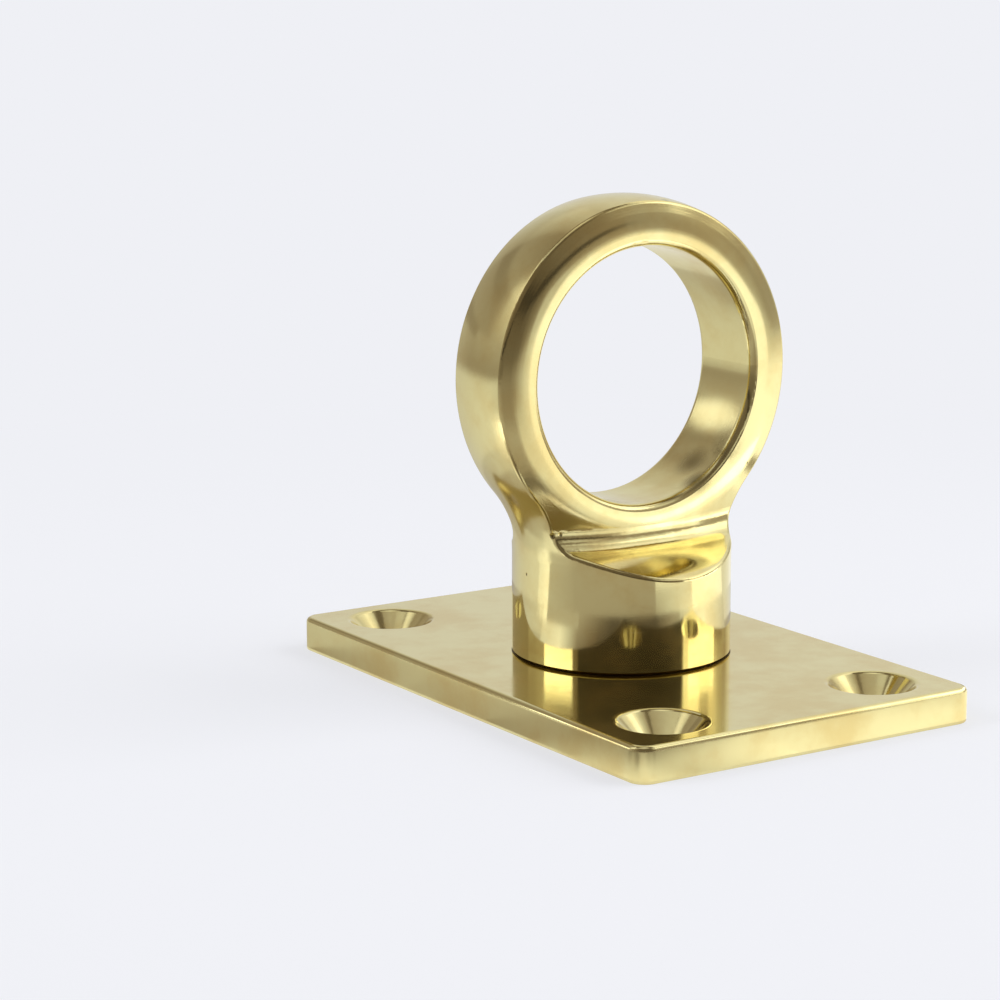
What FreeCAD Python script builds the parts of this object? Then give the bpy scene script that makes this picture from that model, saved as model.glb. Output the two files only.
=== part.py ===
import FreeCAD, Part
import math
import os

# Polished brass rope guide: a flat screw-down plate, a round post with a rope eye
# on top of it, and the machine screw that draws the two together from below.
# Millimetres. Z is up. The origin is the middle of the plate's underside.
# X runs along the plate's short side. Y runs along its long side and along the eye's bore.

# Base plate
PLATE_SHORT = 45.0              # along X
PLATE_LONG = 70.0               # along Y
PLATE_THICK = 4.0
PLATE_CORNER_R = 2.0            # upright corners
PLATE_TOP_ROUND = 0.6           # polished upper edge
PLATE_FOOT_ROUND = 0.25         # broken lower edge

# Four countersunk holes for wood screws
FIXING_SPACING_SHORT = 28.5     # between hole centres, along X
FIXING_SPACING_LONG = 55.0      # between hole centres, along Y
FIXING_HOLE_D = 5.0
FIXING_SINK_D = 10.0            # where the cone would meet the plate's top
FIXING_SINK_ANGLE = 90.0        # full angle of the cone
FIXING_MOUTH_ROUND = 0.8        # polishing rolls the mouth's edge over

# Rope eye
BORE_D = 29.0
EYE_WALL = 5.5                  # from the bore out to the rim
EYE_WIDTH = 10.4                # along Y, over the crowns of both faces
EYE_CROWN_R = 6.0               # each face rolls over between the bore and the rim
CROWN_BEYOND_ROUNDING = 0.9     # the crown's highest circle, out from the bore's rounding
EYE_FACE_TAPER = 18.0           # degrees by which the face falls away beyond the crown
BORE_EDGE_R = 1.0               # rounded for the rope

# Stem under the eye
STEM_D = 25.0
SHOULDER_Z = 18.1               # the shoulder's crown
WEB_UNDER_BORE = 3.7            # metal from the shoulder's crown up to the bore
NECK_R = 11.5                   # sweep between the eye's outside and the stem
SHOULDER_VAULT_R = 24.0         # the shoulder is a barrel vault along X
SHOULDER_COVE_R = 2.2           # hollow between the shoulder and the eye's face
OUTLINE_EDGE_R = 0.5            # all round the eye, down the neck and along the shoulder
STEM_FOOT_CHAMFER = 0.35        # leaves the dark line round the foot

# Machine screw from below, countersunk, with a straight slot
SCREW_D = 6.0
SCREW_LENGTH = 14.0             # overall, as a countersunk screw is measured
SCREW_HEAD_D = 11.3
SCREW_HEAD_ANGLE = 90.0         # full angle of the cone
SCREW_HEAD_RIM = 0.35           # straight edge of the head
SCREW_HEAD_BELOW_FACE = 0.25    # the head lies this deep in the underside
SCREW_TIP_CHAMFER = 0.8
SLOT_WIDTH = 1.6
SLOT_DEPTH = 1.3
SEAT_CLEARANCE = 0.03           # between the head and its seat
THREAD_CLEARANCE = 0.05         # radial, between the shank and the tapped hole
PLATE_HOLE_CLEARANCE = 0.3      # radial, where the shank passes the plate
TAPPED_HOLE_SPARE = 2.5         # depth left over the screw's tip
DRILL_POINT_ANGLE = 118.0

CUT_PAST = 1.0                  # a cutter runs this far past the face that it opens
RIM_MARGIN = 5.0                # the eye's faces are cut this far past its rim, into the neck

X_AXIS = FreeCAD.Vector(1, 0, 0)
Y_AXIS = FreeCAD.Vector(0, 1, 0)
Z_AXIS = FreeCAD.Vector(0, 0, 1)
EYE_D = BORE_D + 2 * EYE_WALL
EYE_CENTRE = FreeCAD.Vector(0, 0, SHOULDER_Z + WEB_UNDER_BORE + BORE_D / 2)


def vec(x, y, z):
    return FreeCAD.Vector(x, y, z)


def turned(outline):
    """Solid turned about the Z axis, from a closed outline of (radius, height) points."""
    points = [vec(radius, 0, height) for radius, height in outline]
    return Part.Face(Part.makePolygon(points + points[:1])).revolve(vec(0, 0, 0), Z_AXIS, 360)


def cone_depth(wide_d, narrow_d, full_angle):
    """Height of a cone between two diameters."""
    return (wide_d - narrow_d) / 2 / math.tan(math.radians(full_angle / 2))


def edges_between(shape, first, second):
    """Edges where a face that passes the first test meets one that passes the second."""
    first_edges = [e for face in shape.Faces if first(face) for e in face.Edges]
    second_edges = [e for face in shape.Faces if second(face) for e in face.Edges]
    shared = []
    for edge in first_edges:
        if any(edge.isSame(other) for other in second_edges):
            if not any(edge.isSame(kept) for kept in shared):
                shared.append(edge)
    return shared


def is_round(face, diameter, axis):
    """True for a cylinder of this diameter along this axis."""
    surface = face.Surface
    if not isinstance(surface, Part.Cylinder):
        return False
    along = abs(surface.Axis.dot(axis)) > 0.999
    return along and math.isclose(2 * surface.Radius, diameter, abs_tol=1e-4)


def is_eye_face(face):
    """True for the crown and the taper of either face of the eye."""
    surface = face.Surface
    if isinstance(surface, Part.Toroid):
        return math.isclose(surface.MinorRadius, EYE_CROWN_R)
    return isinstance(surface, Part.Cone) and abs(surface.Axis.dot(Y_AXIS)) > 0.999


def is_shoulder(face):
    return is_round(face, 2 * SHOULDER_VAULT_R, X_AXIS)


def is_turned(face):
    """True for the stem's side, the neck's sweep and the ball."""
    surface = face.Surface
    if isinstance(surface, Part.Toroid):
        return math.isclose(surface.MinorRadius, NECK_R)
    return isinstance(surface, Part.Sphere) or is_round(face, STEM_D, Z_AXIS)


def is_cut_or_coved(face):
    """True for the eye's faces, the shoulders and the coves between them."""
    return is_eye_face(face) or is_shoulder(face) or isinstance(face.Surface, Part.BSplineSurface)


def fixing_hole_places():
    """Centres of the four wood-screw holes."""
    return [
        vec(i * FIXING_SPACING_SHORT / 2, j * FIXING_SPACING_LONG / 2, 0)
        for i in (-1, 1)
        for j in (-1, 1)
    ]


def fixing_hole_cutter(place):
    """Through hole with its countersink in the plate's top, rolled over at the mouth."""
    hole_r = FIXING_HOLE_D / 2
    cone_floor_z = PLATE_THICK - cone_depth(FIXING_SINK_D, FIXING_HOLE_D, FIXING_SINK_ANGLE)

    # The mouth's rounding touches the plate's top and the cone from inside the metal.
    cone_lean = math.radians(90 - FIXING_SINK_ANGLE / 2)
    round_r = FIXING_SINK_D / 2 + FIXING_MOUTH_ROUND * math.tan(cone_lean / 2)
    round_z = PLATE_THICK - FIXING_MOUTH_ROUND

    def on_rounding(lean):
        radius = round_r - FIXING_MOUTH_ROUND * math.sin(lean)
        return place + vec(radius, 0, round_z + FIXING_MOUTH_ROUND * math.cos(lean))

    cone_top = on_rounding(cone_lean)
    mouth = on_rounding(0)
    corners = [
        cone_top,
        place + vec(hole_r, 0, cone_floor_z),
        place + vec(hole_r, 0, -CUT_PAST),
        place + vec(0, 0, -CUT_PAST),
        place + vec(0, 0, PLATE_THICK + CUT_PAST),
        mouth + Z_AXIS * CUT_PAST,
        mouth,
    ]
    edges = [Part.makeLine(start, end) for start, end in zip(corners, corners[1:])]
    edges.append(Part.Arc(mouth, on_rounding(cone_lean / 2), cone_top).toShape())
    return Part.Face(Part.Wire(edges)).revolve(place, Z_AXIS, 360)


def head_seat_cutter():
    """Hole in the plate's middle for the machine screw, countersunk from below."""
    shank_hole_r = SCREW_D / 2 + PLATE_HOLE_CLEARANCE
    head_r = SCREW_HEAD_D / 2 + SEAT_CLEARANCE
    rim_top_z = SCREW_HEAD_BELOW_FACE + SCREW_HEAD_RIM
    seat_top_z = rim_top_z + cone_depth(2 * head_r, 2 * shank_hole_r, SCREW_HEAD_ANGLE)
    return turned(
        [
            (0, -CUT_PAST),
            (head_r, -CUT_PAST),
            (head_r, rim_top_z),
            (shank_hole_r, seat_top_z),
            (shank_hole_r, PLATE_THICK + CUT_PAST),
            (0, PLATE_THICK + CUT_PAST),
        ]
    )


def base_plate():
    """Flat plate with its corners and edges broken, and its five holes."""
    corner = vec(-PLATE_SHORT / 2, -PLATE_LONG / 2, 0)
    plate = Part.makeBox(PLATE_SHORT, PLATE_LONG, PLATE_THICK, corner)
    uprights = [e for e in plate.Edges if e.BoundBox.ZLength > PLATE_THICK / 2]
    plate = plate.makeFillet(PLATE_CORNER_R, uprights)
    upper = [e for e in plate.Edges if e.BoundBox.ZMin > PLATE_THICK / 2]
    plate = plate.makeFillet(PLATE_TOP_ROUND, upper)
    lower = [e for e in plate.Edges if e.BoundBox.ZMax < PLATE_FOOT_ROUND / 2]
    plate = plate.makeFillet(PLATE_FOOT_ROUND, lower)
    for place in fixing_hole_places():
        plate = plate.cut(fixing_hole_cutter(place))
    return plate.cut(head_seat_cutter())


def neck_places():
    """Where the neck's sweep leaves the stem, where it meets the ball, and its centre, on +X."""
    centre_r = STEM_D / 2 + NECK_R
    centre_to_ball = EYE_D / 2 + NECK_R
    drop = math.sqrt(centre_to_ball ** 2 - centre_r ** 2)
    centre = EYE_CENTRE + vec(centre_r, 0, -drop)
    leaves_stem = centre - X_AXIS * NECK_R
    meets_ball = EYE_CENTRE + (centre - EYE_CENTRE) * (EYE_D / 2 / centre_to_ball)
    return leaves_stem, meets_ball, centre


def turned_blank():
    """The round work before its faces are cut: stem, swept neck and a ball on top."""
    leaves_stem, meets_ball, sweep_centre = neck_places()
    inward = leaves_stem + meets_ball - sweep_centre * 2
    sweep_middle = sweep_centre + inward * (NECK_R / inward.Length)
    ball_side = EYE_CENTRE + X_AXIS * (EYE_D / 2)
    ball_top = EYE_CENTRE + Z_AXIS * (EYE_D / 2)
    foot_r = STEM_D / 2 - STEM_FOOT_CHAMFER
    outline = [
        vec(0, 0, PLATE_THICK),
        vec(foot_r, 0, PLATE_THICK),
        vec(STEM_D / 2, 0, PLATE_THICK + STEM_FOOT_CHAMFER),
        leaves_stem,
    ]
    edges = [Part.makeLine(start, end) for start, end in zip(outline, outline[1:])]
    edges.append(Part.Arc(leaves_stem, sweep_middle, meets_ball).toShape())
    edges.append(Part.Arc(meets_ball, ball_side, ball_top).toShape())
    edges.append(Part.makeLine(ball_top, outline[0]))
    return Part.Face(Part.Wire(edges)).revolve(outline[0], Z_AXIS, 360)


def eye_disc():
    """Bored disc turned about the bore's axis, with crowned faces and rounded bore edges."""
    crown_y = EYE_WIDTH / 2 - EYE_CROWN_R
    taper = math.radians(EYE_FACE_TAPER)

    # The bore's rounding touches the wall and the crown from inside the metal.
    round_r = BORE_D / 2 + BORE_EDGE_R
    round_from_crown = EYE_CROWN_R - BORE_EDGE_R
    inward = math.asin(CROWN_BEYOND_ROUNDING / round_from_crown)
    round_y = crown_y + round_from_crown * math.cos(inward)
    crown_at_r = round_r + CROWN_BEYOND_ROUNDING

    def place(radius, y, side):
        return EYE_CENTRE + vec(radius, side * y, 0)

    def on_crown(lean, side):
        radius = crown_at_r + EYE_CROWN_R * math.sin(lean)
        return place(radius, crown_y + EYE_CROWN_R * math.cos(lean), side)

    def on_rounding(lean, side):
        radius = round_r + BORE_EDGE_R * math.sin(lean)
        return place(radius, round_y + BORE_EDGE_R * math.cos(lean), side)

    wall_ends = []
    face_ends = []
    edges = []
    for side in (1, -1):
        wall_end = on_rounding(-math.pi / 2, side)
        round_middle = on_rounding(-(inward + math.pi / 2) / 2, side)
        crown_start = on_crown(-inward, side)
        crown_end = on_crown(taper, side)
        run = EYE_D / 2 + RIM_MARGIN - crown_end.x
        face_end = crown_end + vec(run, -side * run * math.tan(taper), 0)
        edges.append(Part.Arc(wall_end, round_middle, crown_start).toShape())
        edges.append(Part.Arc(crown_start, on_crown(0, side), crown_end).toShape())
        edges.append(Part.makeLine(crown_end, face_end))
        wall_ends.append(wall_end)
        face_ends.append(face_end)
    edges.append(Part.makeLine(*wall_ends))
    edges.append(Part.makeLine(*face_ends))
    outline = Part.Wire(Part.sortEdges(edges)[0])
    return Part.Face(outline).revolve(EYE_CENTRE, Y_AXIS, 360)


def shoulder_vault():
    """Round bar that lies across the post, along X: its upper half makes both shoulders."""
    half_length = EYE_D / 2 + RIM_MARGIN
    start = vec(-half_length, 0, SHOULDER_Z - SHOULDER_VAULT_R)
    return Part.makeCylinder(SHOULDER_VAULT_R, 2 * half_length, start, X_AXIS)


def faces_and_shoulders():
    """What the cutters leave: the eye's disc on a barrel vault, with a cove along each joint."""
    kept = eye_disc().fuse(shoulder_vault())
    return kept.makeFillet(SHOULDER_COVE_R, edges_between(kept, is_eye_face, is_shoulder))


def tapped_hole_cutter():
    """Blind hole up the stem for the machine screw, ending in the drill's point."""
    hole_r = SCREW_D / 2 + THREAD_CLEARANCE
    full_depth_z = SCREW_HEAD_BELOW_FACE + SCREW_LENGTH + TAPPED_HOLE_SPARE
    point_z = full_depth_z + cone_depth(2 * hole_r, 0, DRILL_POINT_ANGLE)
    return turned(
        [
            (0, PLATE_THICK - CUT_PAST),
            (hole_r, PLATE_THICK - CUT_PAST),
            (hole_r, full_depth_z),
            (0, point_z),
        ]
    )


def eye_post():
    """Stem and rope eye in one piece: crowned faces, coved shoulders and a rounded bore."""
    post = turned_blank().common(faces_and_shoulders())
    post = post.makeFillet(OUTLINE_EDGE_R, edges_between(post, is_turned, is_cut_or_coved))
    return post.cut(tapped_hole_cutter())


def fixing_screw():
    """Countersunk machine screw, driven from the underside."""
    head_z = SCREW_HEAD_BELOW_FACE
    rim_top_z = head_z + SCREW_HEAD_RIM
    neck_z = rim_top_z + cone_depth(SCREW_HEAD_D, SCREW_D, SCREW_HEAD_ANGLE)
    tip_z = head_z + SCREW_LENGTH
    screw = turned(
        [
            (0, head_z),
            (SCREW_HEAD_D / 2, head_z),
            (SCREW_HEAD_D / 2, rim_top_z),
            (SCREW_D / 2, neck_z),
            (SCREW_D / 2, tip_z - SCREW_TIP_CHAMFER),
            (SCREW_D / 2 - SCREW_TIP_CHAMFER, tip_z),
            (0, tip_z),
        ]
    )
    slot = Part.makeBox(
        SCREW_HEAD_D + 2 * CUT_PAST,
        SLOT_WIDTH,
        SLOT_DEPTH + CUT_PAST,
        vec(-SCREW_HEAD_D / 2 - CUT_PAST, -SLOT_WIDTH / 2, head_z - CUT_PAST),
    )
    return screw.cut(slot)


def main():
    os.makedirs("parts", exist_ok=True)
    for build in (base_plate, eye_post, fixing_screw):
        shape = build()
        print(build.__name__, "valid", shape.isValid(), "solids", len(shape.Solids),
              "volume", round(shape.Volume, 2))
        shape.exportStep(f"parts/{build.__name__}.step")


main()
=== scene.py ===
import logging
import math
from dataclasses import dataclass, field
from enum import Enum
from functools import cached_property

import bmesh
import bpy
from mathutils import Matrix, Vector

# Polished brass rope guide: a screw-down plate, a turned post with a rope eye on top,
# and the machine screw under them. Metres, Z up, the eye's bore and the plate's long
# side along Y, the origin in the middle of the plate's underside.

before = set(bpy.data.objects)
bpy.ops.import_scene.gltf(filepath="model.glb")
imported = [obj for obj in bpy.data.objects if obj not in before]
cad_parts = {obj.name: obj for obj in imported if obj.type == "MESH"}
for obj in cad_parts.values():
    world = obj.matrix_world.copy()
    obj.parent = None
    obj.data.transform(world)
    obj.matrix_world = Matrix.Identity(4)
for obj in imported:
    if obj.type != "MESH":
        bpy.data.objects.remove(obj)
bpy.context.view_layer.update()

MM = 0.001
LEVEL_LAYER = "level"
WHITE = "FFFFFF"

ORIGIN_MM = (0.0, 0.0, 0.0)
PLATE_TOP_MM = 4.0
STEM_R_MM = 12.5
STEM_TOP_MM = 15.9             # the neck's sweep leaves the stem here
EYE_CENTRE_MM = (0.0, 0.0, 36.3)
MIDDLING_RADIUS = 0.017        # gives marks that run round an axis about their right length

CLOUDS_PER_METRE = 110.0       # clouds about 9 mm across

SOFT_RISE = {"interpolation_type": "SMOOTHSTEP"}
COLOURS = {"data_type": "RGBA"}

Tree = bpy.types.NodeTree
Node = bpy.types.Node
Socket = bpy.types.NodeSocket

log = logging.getLogger("rope_guide")


def srgb_to_linear(hex_colour: str) -> tuple[float, float, float, float]:
    """Turn a hex colour as the eye reads it into the linear values that the shader takes.

    Args:
        hex_colour: six hex digits, red, green and blue.

    Returns:
        Linear red, green, blue and an alpha of 1.
    """
    channels = [int(hex_colour[i : i + 2], 16) / 255 for i in (0, 2, 4)]
    linear = [c / 12.92 if c <= 0.04045 else ((c + 0.055) / 1.055) ** 2.4 for c in channels]
    return (*linear, 1.0)


def metres(place_mm: tuple[float, float, float]) -> tuple[float, float, float]:
    """Turn a place in millimetres into metres."""
    return tuple(value * MM for value in place_mm)


def add_node(
    tree: Tree,
    kind: str,
    settings: dict[str, object] | None = None,
    inputs: dict[str | int, object] | None = None,
) -> Node:
    """Add a node with its settings and links.

    Args:
        tree: the node tree that takes the node.
        kind: the node's type, without its "ShaderNode" prefix.
        settings: properties to set on the node.
        inputs: for each input, named or numbered, a value, an output socket to link from,
            or a node, which is linked from its first output.

    Returns:
        The new node.
    """
    node = tree.nodes.new("ShaderNode" + kind)
    for name, value in (settings or {}).items():
        setattr(node, name, value)
    for key, value in (inputs or {}).items():
        source = value.outputs[0] if isinstance(value, Node) else value
        if isinstance(source, Socket):
            tree.links.new(source, node.inputs[key])
        else:
            node.inputs[key].default_value = source
    return node


def new_material(name: str) -> bpy.types.Material:
    """Make an empty node material.

    Args:
        name: the material's name.

    Returns:
        The material, with no nodes.
    """
    material = bpy.data.materials.new(name)
    material.use_nodes = True
    material.node_tree.nodes.clear()
    return material


class Lay(Enum):
    """Which way the finishing marks run."""

    ROUND_THE_STEM = "turned about the upright axis"
    ROUND_THE_BORE = "turned about the bore's axis"
    ALONG_THE_PLATE = "lapped along the plate's long side"


@dataclass(frozen=True)
class Marks:
    """Fine parallel marks that a tool, an abrasive or a polishing wheel leaves."""

    lay: Lay
    spacing_mm: float              # drawn coarser than the real ones, so that a few show
    depth_mm: float
    length_in_spacings: float = 70.0


@dataclass(frozen=True)
class Blemish:
    """A pit, nick or stain, where the photograph shows one."""

    place_mm: tuple[float, float, float]
    radius_mm: float
    depth_mm: float
    dirt: float                    # 1 for a pit full of dirt, 0 for a fresh nick
    broken_up: bool = False        # a stain is patchy, a pit is round


@dataclass
class Ground:
    """The node tree of one finish, with the coordinates that its parts share."""

    tree: Tree
    place: Socket = field(init=False)

    def __post_init__(self) -> None:
        """Add the node for the place on the piece."""
        self.place = add_node(self.tree, "TexCoord").outputs["Object"]

    @cached_property
    def axes(self) -> tuple[Socket, ...]:
        """Split the place into x, y and z."""
        return tuple(add_node(self.tree, "SeparateXYZ", inputs={0: self.place}).outputs)

    @cached_property
    def clouds(self) -> Socket:
        """Add the soft clouds that haze, stains and scratches follow.

        Returns:
            How thick the clouds are.
        """
        noise = add_node(
            self.tree,
            "TexNoise",
            inputs={
                "Vector": self.place,
                "Scale": CLOUDS_PER_METRE,
                "Detail": 5.0,
                "Roughness": 0.62,
            },
        )
        return noise.outputs["Fac"]

    def thick_clouds(self, bounds: tuple[float, float]) -> Node:
        """Find where the clouds are thick.

        Args:
            bounds: how thick they are where they start to count and where they are full.

        Returns:
            The node that gives 0 for thin clouds and 1 for thick ones.
        """
        return add_node(
            self.tree,
            "MapRange",
            SOFT_RISE,
            {"Value": self.clouds, "From Min": bounds[0], "From Max": bounds[1]},
        )

    def off_axis(self, first: Socket, second: Socket) -> Node:
        """Work out how far a place is from an axis.

        Args:
            first: its offset from the axis one way.
            second: its offset at right angles to that.

        Returns:
            The node that gives the distance.
        """
        square = add_node(
            self.tree, "Math", {"operation": "MULTIPLY"}, {0: second, 1: second}
        )
        total = add_node(
            self.tree,
            "Math",
            {"operation": "MULTIPLY_ADD"},
            {0: first, 1: first, 2: square},
        )
        return add_node(self.tree, "Math", {"operation": "SQRT"}, {0: total})

    def round_an_axis(self, lay: Lay) -> Node:
        """Turn the place into a radius, a place along an axis and an angle round it.

        Args:
            lay: the axis that the marks run round.

        Returns:
            The node that gives the three.
        """
        bore = lay is Lay.ROUND_THE_BORE
        moved = add_node(
            self.tree,
            "VectorMath",
            {"operation": "SUBTRACT"},
            {0: self.place, 1: metres(EYE_CENTRE_MM if bore else ORIGIN_MM)},
        )
        x, y, z = add_node(self.tree, "SeparateXYZ", inputs={0: moved}).outputs
        sideways, axial = (z, y) if bore else (y, z)
        radius = self.off_axis(x, sideways)
        turn = add_node(self.tree, "Math", {"operation": "ARCTAN2"}, {0: sideways, 1: x})
        return add_node(self.tree, "CombineXYZ", inputs={0: radius, 1: axial, 2: turn})

    def across_lay(self, marks: Marks) -> Node:
        """Work out coordinates that run fast across the marks and slowly along them.

        Args:
            marks: the marks' lay and spacing.

        Returns:
            The node that gives a vector, in mark spacings.
        """
        across = 1 / (marks.spacing_mm * MM)
        along = across / marks.length_in_spacings
        if marks.lay is Lay.ALONG_THE_PLATE:
            counted, scale = self.place, (across, along, across)
        else:
            counted = self.round_an_axis(marks.lay)
            scale = (across, across, along * MIDDLING_RADIUS)
        return add_node(
            self.tree, "VectorMath", {"operation": "MULTIPLY"}, {0: counted, 1: scale}
        )

    def marked(self, marks: Marks, under: Node, strength: object = 1.0) -> Node:
        """Cut one set of marks into the surface.

        Args:
            marks: the marks.
            under: the bumps that they add to.
            strength: how much of them shows.

        Returns:
            The node that gives the normal.
        """
        lines = add_node(
            self.tree,
            "TexNoise",
            inputs={
                "Vector": self.across_lay(marks),
                "Scale": 1.0,
                "Detail": 3.0,
                "Roughness": 0.65,
            },
        )
        return add_node(
            self.tree,
            "Bump",
            inputs={
                "Height": lines.outputs["Fac"],
                "Distance": marks.depth_mm * MM,
                "Strength": strength,
                "Normal": under,
            },
        )


@dataclass(frozen=True)
class Brass:
    """Bare yellow brass, machined, then polished by hand.

    The metal gives a warm mirror. Polishing leaves fine lines along the lay, a thin haze in
    clouds, stray handling scratches and a slight wave that bends what is mirrored, and
    unlacquered brass warms in patches and turns brown where dirt stays.
    """

    name: str
    metal: str = "F0E4A6"          # clean brass, as it tints white light
    warm: str = "E8D491"           # the same, handled
    dirt: str = "5C4A24"           # brown oxide with polish residue; in seams also painted shade
    roughness: float = 0.09
    haze: float = 0.05             # how much rougher the hazy clouds are
    dirt_roughness: float = 0.35   # how much rougher full dirt is
    wave_mm: float = 0.012         # unevenness left by polishing by hand
    waves_per_metre: float = 150.0  # swells about 7 mm across
    marks: Marks = Marks(Lay.ROUND_THE_STEM, 0.16, 0.0006)
    blemishes: tuple[Blemish, ...] = ()

    # How thick the clouds are where each thing starts, and where it is full.
    haze_clouds: tuple[float, float] = (0.35, 0.7)
    warm_clouds: tuple[float, float] = (0.4, 0.7)
    stain_clouds: tuple[float, float] = (0.38, 0.55)
    scratch_clouds: tuple[float, float] = (0.45, 0.62)

    # Scratches: a family is its turn in degrees and its noise's scale, per metre.
    scratch_mm: float = 0.0014
    scratch_families: tuple[tuple[float, float], ...] = ((24.0, 210.0), (-63.0, 290.0))
    scratch_turns: tuple[float, float, float] = (1, 0.5, 1)  # about X, Y and Z
    scratch_stretch: float = 0.06  # the noise is drawn out along them by its inverse
    scratch_crest: float = 0.008   # half a line's width, in levels of the noise

    # Specks: one to a cell of about 5 mm, in the few cells past the cut.
    specks_per_metre: float = 210.0
    speck_cut: float = 0.88
    speck_edge: tuple[float, float] = (0.015, 0.045)  # in cells, from full dirt to none
    speck_dirt: float = 0.8

    def surface_roughness(self, ground: Ground) -> Node:
        """Grade the roughness with the haze.

        Args:
            ground: the finish's tree and coordinates.

        Returns:
            The node that gives the roughness.
        """
        return add_node(
            ground.tree,
            "MapRange",
            SOFT_RISE,
            {
                "Value": ground.clouds,
                "From Min": self.haze_clouds[0],
                "From Max": self.haze_clouds[1],
                "To Min": self.roughness,
                "To Max": self.roughness + self.haze,
            },
        )

    def relief(self, ground: Ground) -> Node:
        """Cut the finishing marks."""
        return ground.marked(self.marks, self.wave(ground))

    def dirt_and_shade_in_seam(self, ground: Ground) -> Node | None:
        """Find where seam dirt and painted shade go; plain brass has none."""
        return None

    def wave(self, ground: Ground) -> Node:
        """Make the slight unevenness of a surface polished by hand.

        Args:
            ground: the finish's tree and coordinates.

        Returns:
            The node that gives the normal.
        """
        swell = add_node(
            ground.tree,
            "TexNoise",
            inputs={"Vector": ground.place, "Scale": self.waves_per_metre, "Detail": 1.0},
        )
        return add_node(
            ground.tree,
            "Bump",
            inputs={
                "Height": swell.outputs["Fac"],
                "Distance": self.wave_mm * MM,
                "Strength": 1.0,
            },
        )

    def scratch_lines(self, ground: Ground, turn_deg: float, scale: float) -> Node:
        """Draw one family of scratches, as the thin middle levels of a stretched noise.

        Args:
            ground: the finish's tree and coordinates.
            turn_deg: how far the family is turned.
            scale: the noise's scale, per metre.

        Returns:
            The node that gives 1 in a scratch and 0 elsewhere.
        """
        turned = add_node(
            ground.tree,
            "Mapping",
            inputs={
                "Vector": ground.place,
                "Rotation": tuple(
                    math.radians(turn_deg * part) for part in self.scratch_turns
                ),
                "Scale": (1.0, self.scratch_stretch, 1.0),
            },
        )
        noise = add_node(
            ground.tree,
            "TexNoise",
            inputs={"Vector": turned, "Scale": scale, "Detail": 2.0},
        )
        offset = add_node(
            ground.tree,
            "Math",
            {"operation": "SUBTRACT"},
            {0: noise.outputs["Fac"], 1: 0.5},
        )
        crest = add_node(ground.tree, "Math", {"operation": "ABSOLUTE"}, {0: offset})
        return add_node(
            ground.tree,
            "MapRange",
            SOFT_RISE,
            {
                "Value": crest,
                "From Min": 0.0,
                "From Max": self.scratch_crest,
                "To Min": 1.0,
                "To Max": 0.0,
            },
        )

    def scratches(self, ground: Ground) -> Node:
        """Draw stray handling scratches, in the cloudy patches.

        Args:
            ground: the finish's tree and coordinates.

        Returns:
            The node that gives 1 in a scratch and 0 elsewhere.
        """
        first, *others = (
            self.scratch_lines(ground, turn_deg, scale)
            for turn_deg, scale in self.scratch_families
        )
        drawn = first
        for lines in others:
            drawn = add_node(
                ground.tree, "Math", {"operation": "MAXIMUM"}, {0: drawn, 1: lines}
            )
        patches = ground.thick_clouds(self.scratch_clouds)
        return add_node(
            ground.tree, "Math", {"operation": "MULTIPLY"}, {0: drawn, 1: patches}
        )

    def specks(self, ground: Ground) -> Node:
        """Scatter a few dark specks.

        Args:
            ground: the finish's tree and coordinates.

        Returns:
            The node that gives 1 in a speck and 0 elsewhere.
        """
        cells = add_node(
            ground.tree,
            "TexVoronoi",
            {"feature": "F1"},
            {"Vector": ground.place, "Scale": self.specks_per_metre, "Randomness": 1.0},
        )
        chosen = add_node(
            ground.tree,
            "Math",
            {"operation": "GREATER_THAN"},
            {0: cells.outputs["Color"], 1: self.speck_cut},
        )
        dot = add_node(
            ground.tree,
            "MapRange",
            SOFT_RISE,
            {
                "Value": cells.outputs["Distance"],
                "From Min": self.speck_edge[0],
                "From Max": self.speck_edge[1],
                "To Min": 1.0,
                "To Max": 0.0,
            },
        )
        return add_node(ground.tree, "Math", {"operation": "MULTIPLY"}, {0: dot, 1: chosen})

    def blemished(self, ground: Ground, normal: Node, dirt: Node) -> tuple[Node, Node]:
        """Dent and darken the surface at each blemish.

        Args:
            ground: the finish's tree and coordinates.
            normal: the bumps that the dents add to.
            dirt: the dirt that is there without them.

        Returns:
            The nodes that give the normal and the dirt.
        """
        tree = ground.tree
        for blemish in self.blemishes:
            off = add_node(
                tree,
                "VectorMath",
                {"operation": "DISTANCE"},
                {0: ground.place, 1: metres(blemish.place_mm)},
            )
            dip = add_node(
                tree,
                "MapRange",
                SOFT_RISE,
                {
                    "Value": off.outputs["Value"],
                    "From Min": 0.0,
                    "From Max": blemish.radius_mm * MM,
                    "To Min": 1.0,
                    "To Max": 0.0,
                },
            )
            normal = add_node(
                tree,
                "Bump",
                inputs={
                    "Height": dip,
                    "Distance": -blemish.depth_mm * MM,
                    "Strength": 1.0,
                    "Normal": normal,
                },
            )
            held = add_node(
                tree, "Math", {"operation": "MULTIPLY"}, {0: dip, 1: blemish.dirt}
            )
            if blemish.broken_up:
                patches = ground.thick_clouds(self.stain_clouds)
                held = add_node(
                    tree, "Math", {"operation": "MULTIPLY"}, {0: held, 1: patches}
                )
            dirt = add_node(tree, "Math", {"operation": "MAXIMUM"}, {0: dirt, 1: held})
        return normal, dirt

    def colour(self, ground: Ground, dirt: Node) -> Socket:
        """Mix the colours of clean, handled and dirty brass.

        Args:
            ground: the finish's tree and coordinates.
            dirt: how dirty each place is.

        Returns:
            The colour.
        """
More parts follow.
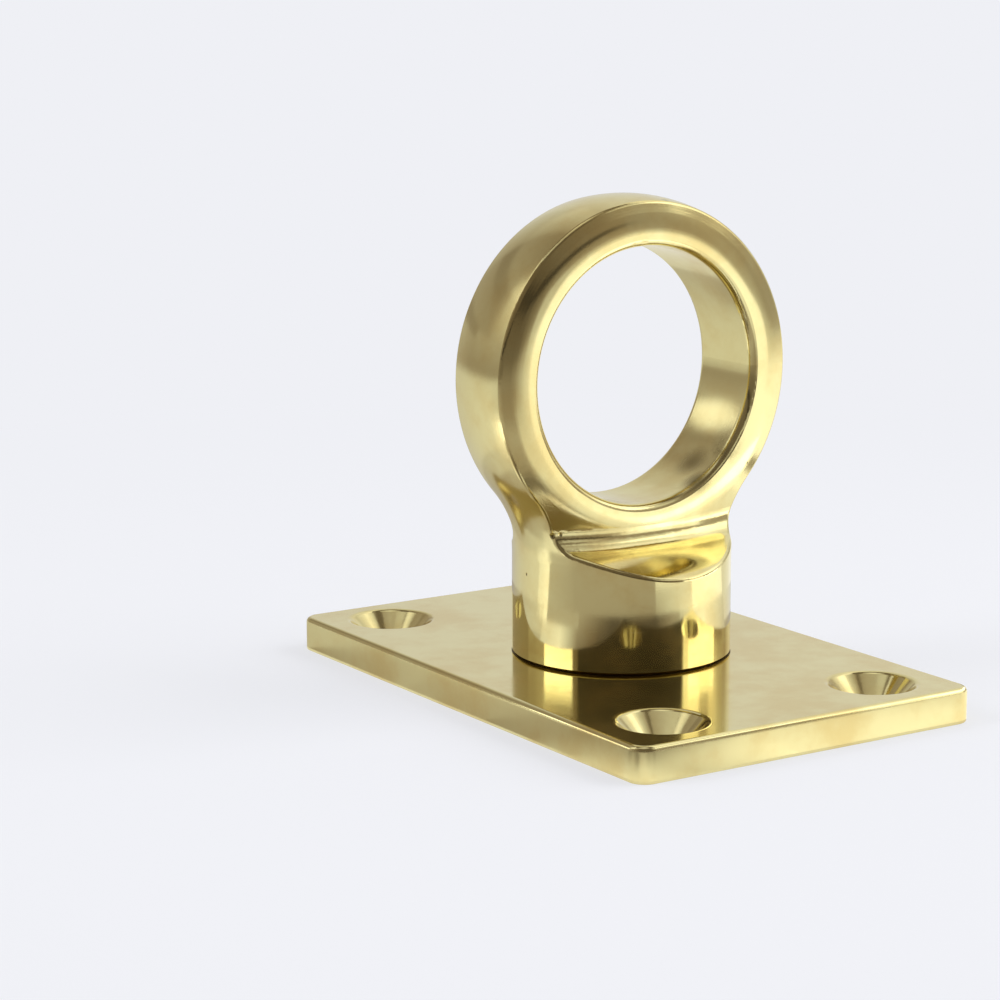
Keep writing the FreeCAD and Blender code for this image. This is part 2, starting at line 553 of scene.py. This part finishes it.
        # Asked for by name, a Mix node's sockets are those of the data type that is set.
        handled = add_node(
            ground.tree,
            "Mix",
            COLOURS,
            {
                "Factor": ground.thick_clouds(self.warm_clouds),
                "A": srgb_to_linear(self.metal),
                "B": srgb_to_linear(self.warm),
            },
        )
        soiled = add_node(
            ground.tree,
            "Mix",
            COLOURS,
            {
                "Factor": dirt,
                "A": handled.outputs["Result"],
                "B": srgb_to_linear(self.dirt),
            },
        )
        return soiled.outputs["Result"]

    def material(self) -> bpy.types.Material:
        """Build the finish.

        Returns:
            The material.
        """
        material = new_material(self.name)
        tree = material.node_tree
        ground = Ground(tree)
        scratched = add_node(
            tree,
            "Bump",
            inputs={
                "Height": self.scratches(ground),
                "Distance": -self.scratch_mm * MM,
                "Strength": 1.0,
                "Normal": self.relief(ground),
            },
        )
        specks = add_node(
            tree,
            "Math",
            {"operation": "MULTIPLY"},
            {0: self.specks(ground), 1: self.speck_dirt},
        )
        normal, dirt = self.blemished(ground, scratched, specks)
        # The seam's darkening is dirt and painted shade of the crease where the stem meets
        # the plate.
        seam_darkening = self.dirt_and_shade_in_seam(ground)
        if seam_darkening is not None:
            dirt = add_node(tree, "Math", {"operation": "MAXIMUM"}, {0: dirt, 1: seam_darkening})
        rough = add_node(
            tree,
            "Math",
            {"operation": "MULTIPLY_ADD"},
            {0: dirt, 1: self.dirt_roughness, 2: self.surface_roughness(ground)},
        )
        surface = add_node(
            tree,
            "BsdfPrincipled",
            inputs={
                "Base Color": self.colour(ground, dirt),
                "Metallic": 1.0,
                "Roughness": rough,
                "Normal": normal,
            },
        )
        add_node(tree, "OutputMaterial", inputs={"Surface": surface})
        return material


@dataclass(frozen=True)
class PostBrass(Brass):
    """The post's finish: the stem buffed bright, the neck and eye left satin.

    A buffing wheel reaches the round stem, so it mirrors sharply; the eye is only linished
    and wiped, so it mirrors softly.
    """

    satin_roughness: float = 0.14
    satin_marks: Marks = Marks(Lay.ROUND_THE_BORE, 0.26, 0.0035)
    satin_start_mm: float = -0.1   # above the stem's top
    satin_full_mm: float = 0.5
    # The seam at the stem's foot is darkened by dirt and by painted shade of the crease.
    seam_height_mm: float = 0.12
    seam_shade_and_dirt: float = 0.4

    def satin_part(self, ground: Ground) -> Node:
        """Find the neck and the eye.

        Args:
            ground: the finish's tree and coordinates.

        Returns:
            The node that gives 1 on them and 0 on the stem.
        """
        return add_node(
            ground.tree,
            "MapRange",
            SOFT_RISE,
            {
                "Value": ground.axes[2],
                "From Min": (STEM_TOP_MM + self.satin_start_mm) * MM,
                "From Max": (STEM_TOP_MM + self.satin_full_mm) * MM,
            },
        )

    def surface_roughness(self, ground: Ground) -> Node:
        """Grade the roughness from the stem to the eye, with the haze.

        Args:
            ground: the finish's tree and coordinates.

        Returns:
            The node that gives the roughness.
        """
        rougher = self.satin_roughness - self.roughness
        return add_node(
            ground.tree,
            "Math",
            {"operation": "MULTIPLY_ADD"},
            {0: self.satin_part(ground), 1: rougher, 2: super().surface_roughness(ground)},
        )

    def relief(self, ground: Ground) -> Node:
        """Cut marks round the stem below and round the bore above.

        Args:
            ground: the finish's tree and coordinates.

        Returns:
            The node that gives the normal.
        """
        satin = self.satin_part(ground)
        bright = add_node(
            ground.tree, "Math", {"operation": "SUBTRACT"}, {0: 1.0, 1: satin}
        )
        stem = ground.marked(self.marks, self.wave(ground), bright)
        return ground.marked(self.satin_marks, stem, satin)

    def dirt_and_shade_in_seam(self, ground: Ground) -> Node:
        """Darken the seam round the stem's foot: dirt, and painted shade of the crease.

        Args:
            ground: the finish's tree and coordinates.

        Returns:
            The node that gives the seam's dirt and painted shade, and 0 elsewhere.
        """
        # Painted shade of the crease at the stem's foot, with dirt in the seam.
        return add_node(
            ground.tree,
            "MapRange",
            SOFT_RISE,
            {
                "Value": ground.axes[2],
                "From Min": PLATE_TOP_MM * MM,
                "From Max": (PLATE_TOP_MM + self.seam_height_mm) * MM,
                "To Min": self.seam_shade_and_dirt,
                "To Max": 0.0,
            },
        )


@dataclass(frozen=True)
class PlateBrass(Brass):
    """The plate's finish: top lapped and buffed, sides drawn over an abrasive belt."""

    side_roughness: float = 0.3
    side_facing: tuple[float, float] = (0.1, 0.5)  # how far a side, and the top, face up
    # The ring round the stem's foot is polish residue and painted shade of the crease.
    seam_width_mm: float = 0.1
    top_slack_mm: float = 0.1      # so that the whole flat top counts as the top

    def surface_roughness(self, ground: Ground) -> Node:
        """Make the upright sides rougher than the top.

        Args:
            ground: the finish's tree and coordinates.

        Returns:
            The node that gives the roughness.
        """
        facing = add_node(ground.tree, "NewGeometry").outputs["True Normal"]
        up = add_node(ground.tree, "SeparateXYZ", inputs={0: facing}).outputs[2]
        steep = add_node(ground.tree, "Math", {"operation": "ABSOLUTE"}, {0: up})
        side = add_node(
            ground.tree,
            "MapRange",
            SOFT_RISE,
            {
                "Value": steep,
                "From Min": self.side_facing[0],
                "From Max": self.side_facing[1],
                "To Min": 1.0,
                "To Max": 0.0,
            },
        )
        rougher = self.side_roughness - self.roughness
        return add_node(
            ground.tree,
            "Math",
            {"operation": "MULTIPLY_ADD"},
            {0: side, 1: rougher, 2: super().surface_roughness(ground)},
        )

    def dirt_and_shade_in_seam(self, ground: Ground) -> Node:
        """Darken the top just outside the stem's foot: polish residue and painted shade.

        Args:
            ground: the finish's tree and coordinates.

        Returns:
            The node that gives 1 in the seam and 0 elsewhere.
        """
        x, y, z = ground.axes
        # Painted shade of the crease, with polish residue: a thin dark ring on the top
        # round the stem.
        near = add_node(
            ground.tree,
            "MapRange",
            SOFT_RISE,
            {
                "Value": ground.off_axis(x, y),
                "From Min": STEM_R_MM * MM,
                "From Max": (STEM_R_MM + self.seam_width_mm) * MM,
                "To Min": 1.0,
                "To Max": 0.0,
            },
        )
        on_top = add_node(
            ground.tree,
            "Math",
            {"operation": "GREATER_THAN"},
            {0: z, 1: (PLATE_TOP_MM - self.top_slack_mm) * MM},
        )
        return add_node(
            ground.tree, "Math", {"operation": "MULTIPLY"}, {0: near, 1: on_top}
        )


def dress(node: str, material: bpy.types.Material) -> bpy.types.Object:
    """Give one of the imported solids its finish.

    Args:
        node: the solid's name.
        material: the finish.

    Returns:
        The dressed object.
    """
    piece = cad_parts[node]
    for slot in piece.material_slots:
        slot.material = material
    return piece


@dataclass
class BasePlate:
    """The flat screw-down plate with its four countersunk holes."""

    node: str = "base_plate"
    finish: PlateBrass = PlateBrass(
        "brass_plate_lapped_and_buffed",
        roughness=0.1,
        haze=0.07,
        wave_mm=0.006,
        marks=Marks(Lay.ALONG_THE_PLATE, 0.2, 0.0012),
    )

    def build(self) -> bpy.types.Object:
        """Dress the plate."""
        return dress(self.node, self.finish.material())


@dataclass
class EyePost:
    """The turned post with the rope eye on top."""

    node: str = "eye_post"
    finish: PostBrass = PostBrass(
        "brass_post_turned_and_linished",
        roughness=0.07,
        haze=0.03,
        marks=Marks(Lay.ROUND_THE_STEM, 0.16, 0.0005),
        blemishes=(
            Blemish((-12.3, -4.1, 19.4), 0.4, 0.12, dirt=1.0),
            Blemish((-11.4, -4.4, 19.5), 0.3, 0.1, dirt=1.0),
            Blemish((-12.5, 0.8, 14.2), 0.22, 0.05, dirt=1.0),
            Blemish((3.0, -3.7, 55.7), 0.7, 0.07, dirt=0.0),
            Blemish((-1.0, -5.2, 51.3), 1.0, 0.06, dirt=0.0),
            Blemish((11.4, -4.3, 27.4), 2.8, 0.01, dirt=0.85, broken_up=True),
            Blemish((9.2, -1.0, 25.1), 3.0, 0.01, dirt=0.6, broken_up=True),
            Blemish((7.0, -4.4, 23.9), 2.4, 0.01, dirt=0.7, broken_up=True),
        ),
    )

    def build(self) -> bpy.types.Object:
        """Dress the post."""
        return dress(self.node, self.finish.material())


@dataclass
class FixingScrew:
    """The machine screw under the plate."""

    node: str = "fixing_screw"
    finish: Brass = Brass("brass_screw_machined", roughness=0.22)

    def build(self) -> bpy.types.Object:
        """Dress the screw."""
        return dress(self.node, self.finish.material())


CARD_DISTANCE = 0.6            # of the cards round the guide, from its axis
CARD_EYE_HEIGHT = 0.02         # elevations are as seen from here, in the middle of the stem
TABLE_CARD_LIFT = 0.0004
CEILING_HEIGHT = 1.15
CARD_STEP_DEG = 3              # a card is bent in steps of about this much
CARD_LEAST_STEPS = 6
CARD_ROWS = 4


@dataclass(frozen=True)
class Card:
    """A card that only the metal's mirror sees, bent round the guide or laid flat.

    Azimuths are degrees from the camera's own heading, positive to the camera's right. An
    edge is a distance from the guide's axis and a height, in metres. Brightness is given as
    one level for all, one for each end, or four: the low edge's start and end, then the
    high edge's.
    """

    name: str
    from_deg: float
    to_deg: float
    low: tuple[float, float]
    high: tuple[float, float]
    levels: tuple[float, ...]

    @property
    def corner_levels(self) -> tuple[float, ...]:
        """Give all four levels: the low edge's start and end, then the high edge's."""
        return self.levels * (4 // len(self.levels))


def standing(
    name: str,
    from_deg: float,
    to_deg: float,
    low_deg: float,
    high_deg: float,
    *levels: float,
) -> Card:
    """Place a card that stands round the guide, between two elevations.

    Args:
        name: the card's name.
        from_deg: azimuth of one end.
        to_deg: azimuth of the other end.
        low_deg: elevation of the lower edge.
        high_deg: elevation of the upper edge.
        levels: the card's brightness, as Card tells.

    Returns:
        The card.
    """
    low, high = (
        (CARD_DISTANCE, CARD_EYE_HEIGHT + CARD_DISTANCE * math.tan(math.radians(lift)))
        for lift in (low_deg, high_deg)
    )
    return Card(name, from_deg, to_deg, low, high, levels)


def upright(
    name: str,
    from_deg: float,
    to_deg: float,
    distance: float,
    foot: float,
    top: float,
    *levels: float,
) -> Card:
    """Place a card that stands at a distance of its own, between two heights."""
    return Card(name, from_deg, to_deg, (distance, foot), (distance, top), levels)


def flat(
    name: str,
    from_deg: float,
    to_deg: float,
    height: float,
    first: float,
    second: float,
    *levels: float,
) -> Card:
    """Place a flat card at a height, between two distances from the guide's axis."""
    return Card(name, from_deg, to_deg, (first, height), (second, height), levels)


def lying(
    name: str, from_deg: float, to_deg: float, near: float, far: float, *levels: float
) -> Card:
    """Place a card that lies on the table, between a near and a far distance."""
    return flat(name, from_deg, to_deg, TABLE_CARD_LIFT, near, far, *levels)


@dataclass(frozen=True)
class Lamp:
    """A soft square lamp that faces the guide, at an azimuth as a card has."""

    name: str
    azimuth_deg: float
    lift_deg: float                # above the floor
    size: float                    # the side of the square, in metres
    watts: float


def place_mesh(
    name: str, mesh: bmesh.types.BMesh, material: bpy.types.Material
) -> bpy.types.Object:
    """Turn a finished mesh into an object of the scene.

    Args:
        name: the object's name.
        mesh: the mesh, which is freed.
        material: its material.

    Returns:
        The object.
    """
    data = bpy.data.meshes.new(name)
    mesh.to_mesh(data)
    mesh.free()
    data.materials.append(material)
    piece = bpy.data.objects.new(name, data)
    bpy.context.scene.collection.objects.link(piece)
    return piece


def seen_directly(tree: Tree) -> Socket:
    """Tell rays that look at the backdrop, straight or in a mirror, from rays that light.

    Args:
        tree: the node tree.

    Returns:
        1 for a camera, glossy or transmission ray, 0 otherwise.
    """
    ray = add_node(tree, "LightPath")
    seen = ray.outputs["Is Camera Ray"]
    for kind in ("Is Glossy Ray", "Is Transmission Ray"):
        either = add_node(
            tree, "Math", {"operation": "MAXIMUM"}, {0: seen, 1: ray.outputs[kind]}
        )
        seen = either.outputs[0]
    return seen


@dataclass
class Studio:
    """Floor, cards, soft lamps and the room's light."""

    heading_deg: float = 33.03
    backdrop: str = "EFF0F5"
    fill: float = 0.6              # the even light that the room gives
    dim_tint: str = "FFE9D4"       # the room's dim parts are warmer than its windows
    tint_levels: tuple[float, float] = (0.05, 0.7)  # from fully tinted to white
    floor_radius: float = 12.0
    floor_segments: int = 96
    shadow_reach: tuple[float, float] = (0.05, 0.2)  # where it starts to fade, and ends
    shadow_depth: float = 0.35     # the share of the floor's own shading that is kept
    lamp_distance: float = 0.9
    lamps: tuple[Lamp, ...] = (
        Lamp("softbox_right", 88, 35, 0.7, 5.0),
        Lamp("softbox_left", -106, 35, 0.4, 2.5),
    )
    cards: tuple[Card, ...] = (
        # Round the guide, above the table's edge.
        standing("dark_behind_camera", 140, 224, -2, 72, 0.14, 0.18, 0.08, 0.1),
        standing("room_left_of_camera", 224, 250, -2, 34, 0.18, 0.2, 0.2, 0.33),
        standing("wall_left_front", 250, 266, -2, 34, 0.22, 0.34, 0.35, 0.5),
        standing("wall_left_front_high", 224, 250, 34, 72, 0.2, 0.35, 0.15, 0.2),
        standing("panel_left", 250, 272, 34, 60, 0.85, 1.25, 0.7, 1.0),
        standing("panel_left_edge", 266, 282, 13, 34, 0.5, 0.4, 1.15, 0.62),
        standing("panel_left_high", 272, 286, 34, 60, 1.2, 0.6, 1.0, 0.7),
        standing("wall_left_low", 266, 300, -2, 13, 0.3, 0.3, 0.46, 0.44),
        standing("wall_left_pale", 282, 289, 13, 34, 0.36, 0.34, 0.42, 0.32),
        standing("wall_left_middle", 289, 326, 26, 34, 0.29, 0.25, 0.29, 0.25),
        standing("wall_left_high", 286, 326, 34, 60, 0.4, 0.34, 0.16, 0.26),
        standing("wall_left_back", 289, 326, 13, 26, 0.34, 0.41, 0.32, 0.34),
        # Close behind the ring, where only the side of its bore mirrors them.
        upright("bore_glow", 309, 323, 0.03, 0.0412, 0.0455, 1.3),
        upright("bore_glow_below", 309, 323, 0.03, 0.0394, 0.0412, 0.55, 0.6, 1.2, 1.3),
        upright("bore_glow_above", 309, 323, 0.03, 0.0455, 0.048, 1.2, 1.3, 0.5, 0.5),
        # Round the guide again, behind it and to the right.
        standing("wall_left_back_low", 300, 326, -2, 13, 0.33, 0.5, 0.42, 0.6),
        standing("wall_back_left", 326, 350, -2, 34, 0.47, 0.68, 0.35, 0.6),
        standing("wall_back_left_high", 326, 350, 34, 62, 0.38, 0.74, 0.4, 0.5),
        standing("wall_back", -10, 26, -2, 34, 0.7, 0.76, 0.66, 0.8),
        standing("wall_back_high", -10, 30, 34, 62, 0.66, 0.9, 0.3, 1.1),
        standing("wall_back_right", 26, 40, -2, 34, 0.8, 0.5, 0.85, 0.6),
        standing("wall_right_back", 40, 62, -2, 24, 0.4, 0.5, 0.45, 0.75),
        standing("wall_right_back_high", 30, 62, 24, 62, 0.6, 0.9, 1.0, 1.3),
        standing("window_low", 62, 70, -2, 24, 0.85, 0.6, 0.9, 1.1),
        standing("window_low_2", 70, 78, 10, 24, 0.9, 0.7, 1.2, 1.3),
        standing("window_low_3", 78, 90, 16, 24, 1.0, 0.5, 1.5, 1.1),
        standing("window_right", 62, 100, 24, 46, 1.15, 2.0, 1.4, 2.0),
        standing("window_top", 62, 84, 46, 62, 1.3, 1.0, 1.1, 0.6),
        standing("wall_right_low", 70, 78, -2, 10, 0.4, 0.33),
        standing("wall_right_low_2", 78, 90, -2, 16, 0.33, 0.34, 0.4, 0.36),
        standing("wall_right_low_3", 90, 100, -2, 24, 0.36, 0.42, 0.4, 0.5),
        standing("wall_right_high", 84, 124, 46, 72, 0.8, 0.3, 0.2, 0.15),
        standing("window_edge_right", 100, 120, 26, 46, 0.6, 0.3, 0.9, 0.8),
        standing("room_right_of_camera", 100, 140, -2, 26, 0.45, 0.17, 0.4, 0.14),
        standing("room_right_high", 120, 140, 26, 46, 0.25, 0.16, 0.2, 0.12),
        standing("room_right_higher", 124, 140, 46, 72, 0.16, 0.12),
        # Overhead.
        flat("ceiling", -98, 120, CEILING_HEIGHT, 0.62, 0.3, 0.15),
        flat("ceiling_over_camera", 120, 262, CEILING_HEIGHT, 0.62, 0.3, 0.4, 0.65),
        flat("ceiling_lamp", 0, 360, CEILING_HEIGHT, 0.3, 0.0, 0.35, 0.35, 1.0, 1.0),
        # Just in front of the cards round the guide, and dimmer than they are.
        upright("dark_low_behind_camera", 116, 228, 0.58, 0.12, 0.181, 0.03),
        upright("dim_low_back_left", 296, 345, 0.58, 0.117, 0.165, 0.29),
        # Low and near, where only the stem and plate see them, in each other.
        upright("low_dim_right", 62, 80, 0.05, 0.0085, 0.012, 0.27),
        upright("low_bright_right", 80, 116, 0.05, 0.0085, 0.0175, 2.3),
        upright("low_bright_left", 228, 260, 0.05, 0.0085, 0.0175, 1.8, 2.2),
        upright("above_ledge_right", 98, 119, 0.08, 0.008, 0.036, 1.3),
        upright("above_ledge_front", 126, 142, 0.05, 0.036, 0.047, 0.6),
        # On the table, close to the plate.
        lying("table_near_front", 150, 170, 0.02, 0.0445, 1.35, 0.78),
        lying("table_near_front_dark", 150, 170, 0.0445, 0.056, 0.12, 0.12, 0.08, 0.1),
        lying("table_corner_right", 170, 177, 0.02, 0.0475, 0.8, 1.05),
        lying("table_corner_right_dark", 170, 177, 0.0475, 0.056, 0.12),
        lying("table_corner", 177, 184, 0.02, 0.049, 1.15, 0.95),
        lying("table_corner_dark", 177, 184, 0.049, 0.056, 0.12),
        lying("table_corner_left", 184, 192, 0.02, 0.0445, 0.88, 0.7),
        lying("table_corner_left_dark", 184, 192, 0.0445, 0.056, 0.1),
        lying("table_near_left", 192, 204, 0.02, 0.038, 0.62, 0.42),
        lying("table_near_left_dark", 192, 204, 0.038, 0.056, 0.08, 0.1, 0.12, 0.25),
        lying("table_near_left_2", 204, 222, 0.02, 0.033, 0.4, 0.36),
        lying("table_near_left_dark_2", 204, 222, 0.033, 0.056, 0.1, 0.22, 0.25, 0.45),
        lying("table_edge_left", 222, 262, 0.02, 0.033, 0.46, 0.5, 0.46, 0.45),
        lying("table_strip_far_left", 222, 240, 0.033, 0.048, 0.25, 1.1, 0.35, 0.95),
        lying("table_strip_left_near", 240, 262, 0.033, 0.048, 1.1, 0.7, 0.95, 0.95),
        lying("table_edge_left_back", 262, 300, 0.02, 0.04, 0.5, 0.3, 0.6, 0.35),
        lying("table_edge_back", -60, 60, 0.02, 0.04, 0.35, 0.5),
        lying("table_near_left_back", 262, 345, 0.04, 0.056, 0.74, 0.36),
        lying("table_near_back", -15, 60, 0.04, 0.056, 0.6, 0.85),
        lying("table_near_right", 60, 96, 0.02, 0.056, 0.6, 1.3, 0.75, 1.2),
        lying("table_near_right_front", 96, 150, 0.02, 0.048, 1.35, 1.2),
        lying("table_right_strip_end", 96, 126, 0.048, 0.056, 1.3, 0.6),
        lying("table_right_dim", 126, 150, 0.048, 0.056, 0.5, 0.12, 0.4, 0.08),
        # On the table, farther out.
        lying("table_to_camera", 150, 228, 0.056, 0.11, 0.38, 0.42, 0.5, 0.44),
        lying("table_to_camera_far", 150, 228, 0.11, 0.64, 0.32, 0.42, 0.14, 0.18),
        lying("table_left_of_camera", 228, 257, 0.056, 0.64, 0.44, 0.55, 0.2, 0.3),
        lying("table_left_of_camera_near", 222, 257, 0.048, 0.056, 0.5, 0.52),
        lying("table_strip_left", 257, 271, 0.048, 0.11, 1.3, 1.1, 1.2, 0.8),
        lying("table_strip_left_far", 257, 271, 0.11, 0.64, 0.5, 0.78, 0.38, 0.55),
        lying("table_left", 271, 346, 0.056, 0.4, 0.82, 0.5, 0.68, 0.66),
        lying("table_left_far", 271, 346, 0.4, 0.64, 0.5, 0.6, 0.36, 0.6),
        lying("table_back", -14, 36, 0.056, 0.64, 0.7, 1.0, 0.9, 1.2),
        lying("table_back_right", 36, 62, 0.056, 0.64, 0.95, 0.8, 1.2, 1.15),
        lying("table_right", 62, 110, 0.056, 0.3, 1.2, 1.6, 1.3, 1.1),
        lying("table_right_far", 62, 110, 0.3, 0.64, 1.1, 0.5, 0.7, 0.35),
        lying("table_right_of_camera", 110, 150, 0.056, 0.072, 1.2, 0.45, 0.9, 0.6),
        lying("table_face_glow", 110, 150, 0.072, 0.17, 1.0, 1.0, 1.2, 0.4),
        lying("table_face_glow_far", 110, 150, 0.17, 0.64, 1.1, 0.3, 0.45, 0.14),
    )

    def bend(self, card: Card, glow: bpy.types.Material) -> bpy.types.Object:
        """Bend one card to its place and grade its brightness.

        Args:
            card: the card's sizes and brightness.
            glow: the cards' material.

        Returns:
            The card's object.
        """
        mesh = bmesh.new()
        span_deg = card.to_deg - card.from_deg
        steps = max(CARD_LEAST_STEPS, round(span_deg / CARD_STEP_DEG))
        bmesh.ops.create_grid(mesh, x_segments=steps, y_segments=CARD_ROWS, size=0.5)
        shade = mesh.verts.layers.float.new(LEVEL_LAYER)
        levels = card.corner_levels
        for vert in mesh.verts:
            # The grid runs from -0.5 to 0.5 both ways.
            along, up = vert.co.x + 0.5, vert.co.y + 0.5
            angle = math.radians(90 - self.heading_deg - card.from_deg - span_deg * along)
            radius, height = (a + (b - a) * up for a, b in zip(card.low, card.high))
            vert.co = (radius * math.cos(angle), radius * math.sin(angle), height)
            low, high = (a + (b - a) * along for a, b in (levels[:2], levels[2:]))
            vert[shade] = low + (high - low) * up
        piece = place_mesh(card.name, mesh, glow)
        for ray in ("camera", "diffuse", "transmission", "volume_scatter", "shadow"):
            setattr(piece, f"visible_{ray}", False)
        return piece

    def card_glow(self) -> bpy.types.Material:
        """Make the cards' glow, whose strength each card's own grading sets.

        Returns:
            The material.
        """
        material = new_material("card_glow")
        tree = material.node_tree
        level = add_node(tree, "Attribute", {"attribute_name": LEVEL_LAYER}).outputs["Fac"]
        brightening = add_node(
            tree,
            "MapRange",
            SOFT_RISE,
            {
                "Value": level,
                "From Min": self.tint_levels[0],
                "From Max": self.tint_levels[1],
            },
        )
        tint = add_node(
            tree,
            "Mix",
            COLOURS,
            {
                "Factor": brightening,
                "A": srgb_to_linear(self.dim_tint),
                "B": srgb_to_linear(WHITE),
            },
        )
        glow = add_node(
            tree, "Emission", inputs={"Color": tint.outputs["Result"], "Strength": level}
        )
        add_node(tree, "OutputMaterial", inputs={"Surface": glow})
        return material

    def floor_finish(self) -> bpy.types.Material:
        """Make the floor's finish: the backdrop's colour, with a soft shadow by the guide.

        Returns:
            The material.
        """
        material = new_material("matt_white_floor")
        tree = material.node_tree
        colour = srgb_to_linear(self.backdrop)
        lit = add_node(tree, "BsdfDiffuse", inputs={"Color": colour})
        shown = add_node(tree, "Emission", inputs={"Color": colour, "Strength": 1.0})
        off = add_node(
            tree,
            "VectorMath",
            {"operation": "DISTANCE"},
            {0: add_node(tree, "TexCoord").outputs["Object"], 1: metres(ORIGIN_MM)},
        )
        shaded = add_node(
            tree,
            "MapRange",
            SOFT_RISE,
            {
                "Value": off.outputs["Value"],
                "From Min": self.shadow_reach[0],
                "From Max": self.shadow_reach[1],
                "To Min": self.shadow_depth,
                "To Max": 0.0,
            },
        )
        even = add_node(tree, "MixShader", inputs={"Fac": shaded, 1: shown, 2: lit})
        above = add_node(
            tree, "MixShader", inputs={"Fac": seen_directly(tree), 1: lit, 2: even}
        )
        # From below, the floor isn't there.
        one_sided = add_node(
            tree,
            "MixShader",
            inputs={
                "Fac": add_node(tree, "NewGeometry").outputs["Backfacing"],
                1: above,
                2: add_node(tree, "BsdfTransparent"),
            },
        )
        add_node(tree, "OutputMaterial", inputs={"Surface": one_sided})
        return material

    def floor(self) -> bpy.types.Object:
        """Make the pale floor, which shows the backdrop's colour and keeps the shadow.

        Returns:
            The floor.
        """
        mesh = bmesh.new()
        bmesh.ops.create_circle(
            mesh, cap_ends=True, radius=self.floor_radius, segments=self.floor_segments
        )
        piece = place_mesh("floor", mesh, self.floor_finish())
        return piece

    def hang(self, lamp: Lamp) -> bpy.types.Object:
        """Hang one lamp and face it to the guide.

        Args:
            lamp: the lamp's place, size and power.

        Returns:
            The lamp's object.
        """
        light = bpy.data.lights.new(lamp.name, "AREA")
        light.shape = "SQUARE"
        light.size = lamp.size
        light.energy = lamp.watts
        piece = bpy.data.objects.new(lamp.name, light)
        azimuth = math.radians(90 - self.heading_deg - lamp.azimuth_deg)
        lift = math.radians(lamp.lift_deg)
        away = Vector(
            (
                math.cos(azimuth) * math.cos(lift),
                math.sin(azimuth) * math.cos(lift),
                math.sin(lift),
            )
        )
        facing = away.to_track_quat("Z", "Y").to_matrix().to_4x4()
        piece.matrix_world = Matrix.Translation(away * self.lamp_distance) @ facing
        piece.visible_glossy = False
        bpy.context.scene.collection.objects.link(piece)
        return piece

    def world(self) -> None:
        """Fill the room with even light, and show the backdrop behind everything."""
        world = bpy.data.worlds.new("room")
        bpy.context.scene.world = world
        world.use_nodes = True
        tree = world.node_tree
        tree.nodes.clear()
        shown, fill = (
            add_node(
                tree,
                "Background",
                inputs={"Color": srgb_to_linear(tint), "Strength": level},
            )
            for tint, level in ((self.backdrop, 1.0), (WHITE, self.fill))
        )
        mixed = add_node(
            tree, "MixShader", inputs={"Fac": seen_directly(tree), 1: fill, 2: shown}
        )
        add_node(tree, "OutputWorld", inputs={"Surface": mixed})

    def build(self) -> None:
        """Set up the whole stage."""
        self.floor()
        glow = self.card_glow()
        for card in self.cards:
            self.bend(card, glow)
        for lamp in self.lamps:
            self.hang(lamp)
        self.world()


@dataclass(frozen=True)
class PhotoCamera:
    """The camera at the photograph's angle, as fitted to the guide's outline."""

    place_mm: tuple[float, float, float] = (-188.513, -264.551, 85.340)
    right: tuple[float, float, float] = (0.838190, -0.545375, -0.001826)
    up: tuple[float, float, float] = (0.106778, 0.160823, 0.981190)
    forward: tuple[float, float, float] = (0.534823, 0.822619, -0.193034)
    lens_mm: float = 104.714
    sensor_mm: float = 36.0
    nearest: float = 0.01          # in metres, as the farthest
    farthest: float = 50.0

    def build(self) -> bpy.types.Object:
        """Create the camera and make it the scene's own.

        Returns:
            The camera.
        """
        data = bpy.data.cameras.new("photo_camera")
        data.sensor_fit = "HORIZONTAL"
        data.sensor_width = self.sensor_mm
        data.lens = self.lens_mm
        data.clip_start = self.nearest
        data.clip_end = self.farthest
        piece = bpy.data.objects.new("photo_camera", data)
        turn = Matrix((self.right, self.up, [-v for v in self.forward])).transposed()
        piece.matrix_world = Matrix.Translation(metres(self.place_mm)) @ turn.to_4x4()
        bpy.context.scene.collection.objects.link(piece)
        bpy.context.scene.camera = piece
        return piece


def main() -> None:
    """Dress the guide and set up its studio."""
    logging.basicConfig(level=logging.INFO, format="%(name)s: %(message)s")
    for assembly in (BasePlate(), EyePost(), FixingScrew()):
        piece = assembly.build()
        log.info("%s dressed in %s", piece.name, piece.material_slots[0].material.name)
    studio = Studio()
    studio.build()
    log.info("studio built, %d cards and %d lamps", len(studio.cards), len(studio.lamps))
    log.info("%s placed", PhotoCamera().build().name)
    bpy.context.scene.view_settings.view_transform = "Standard"


if __name__ == "__main__":
    main()
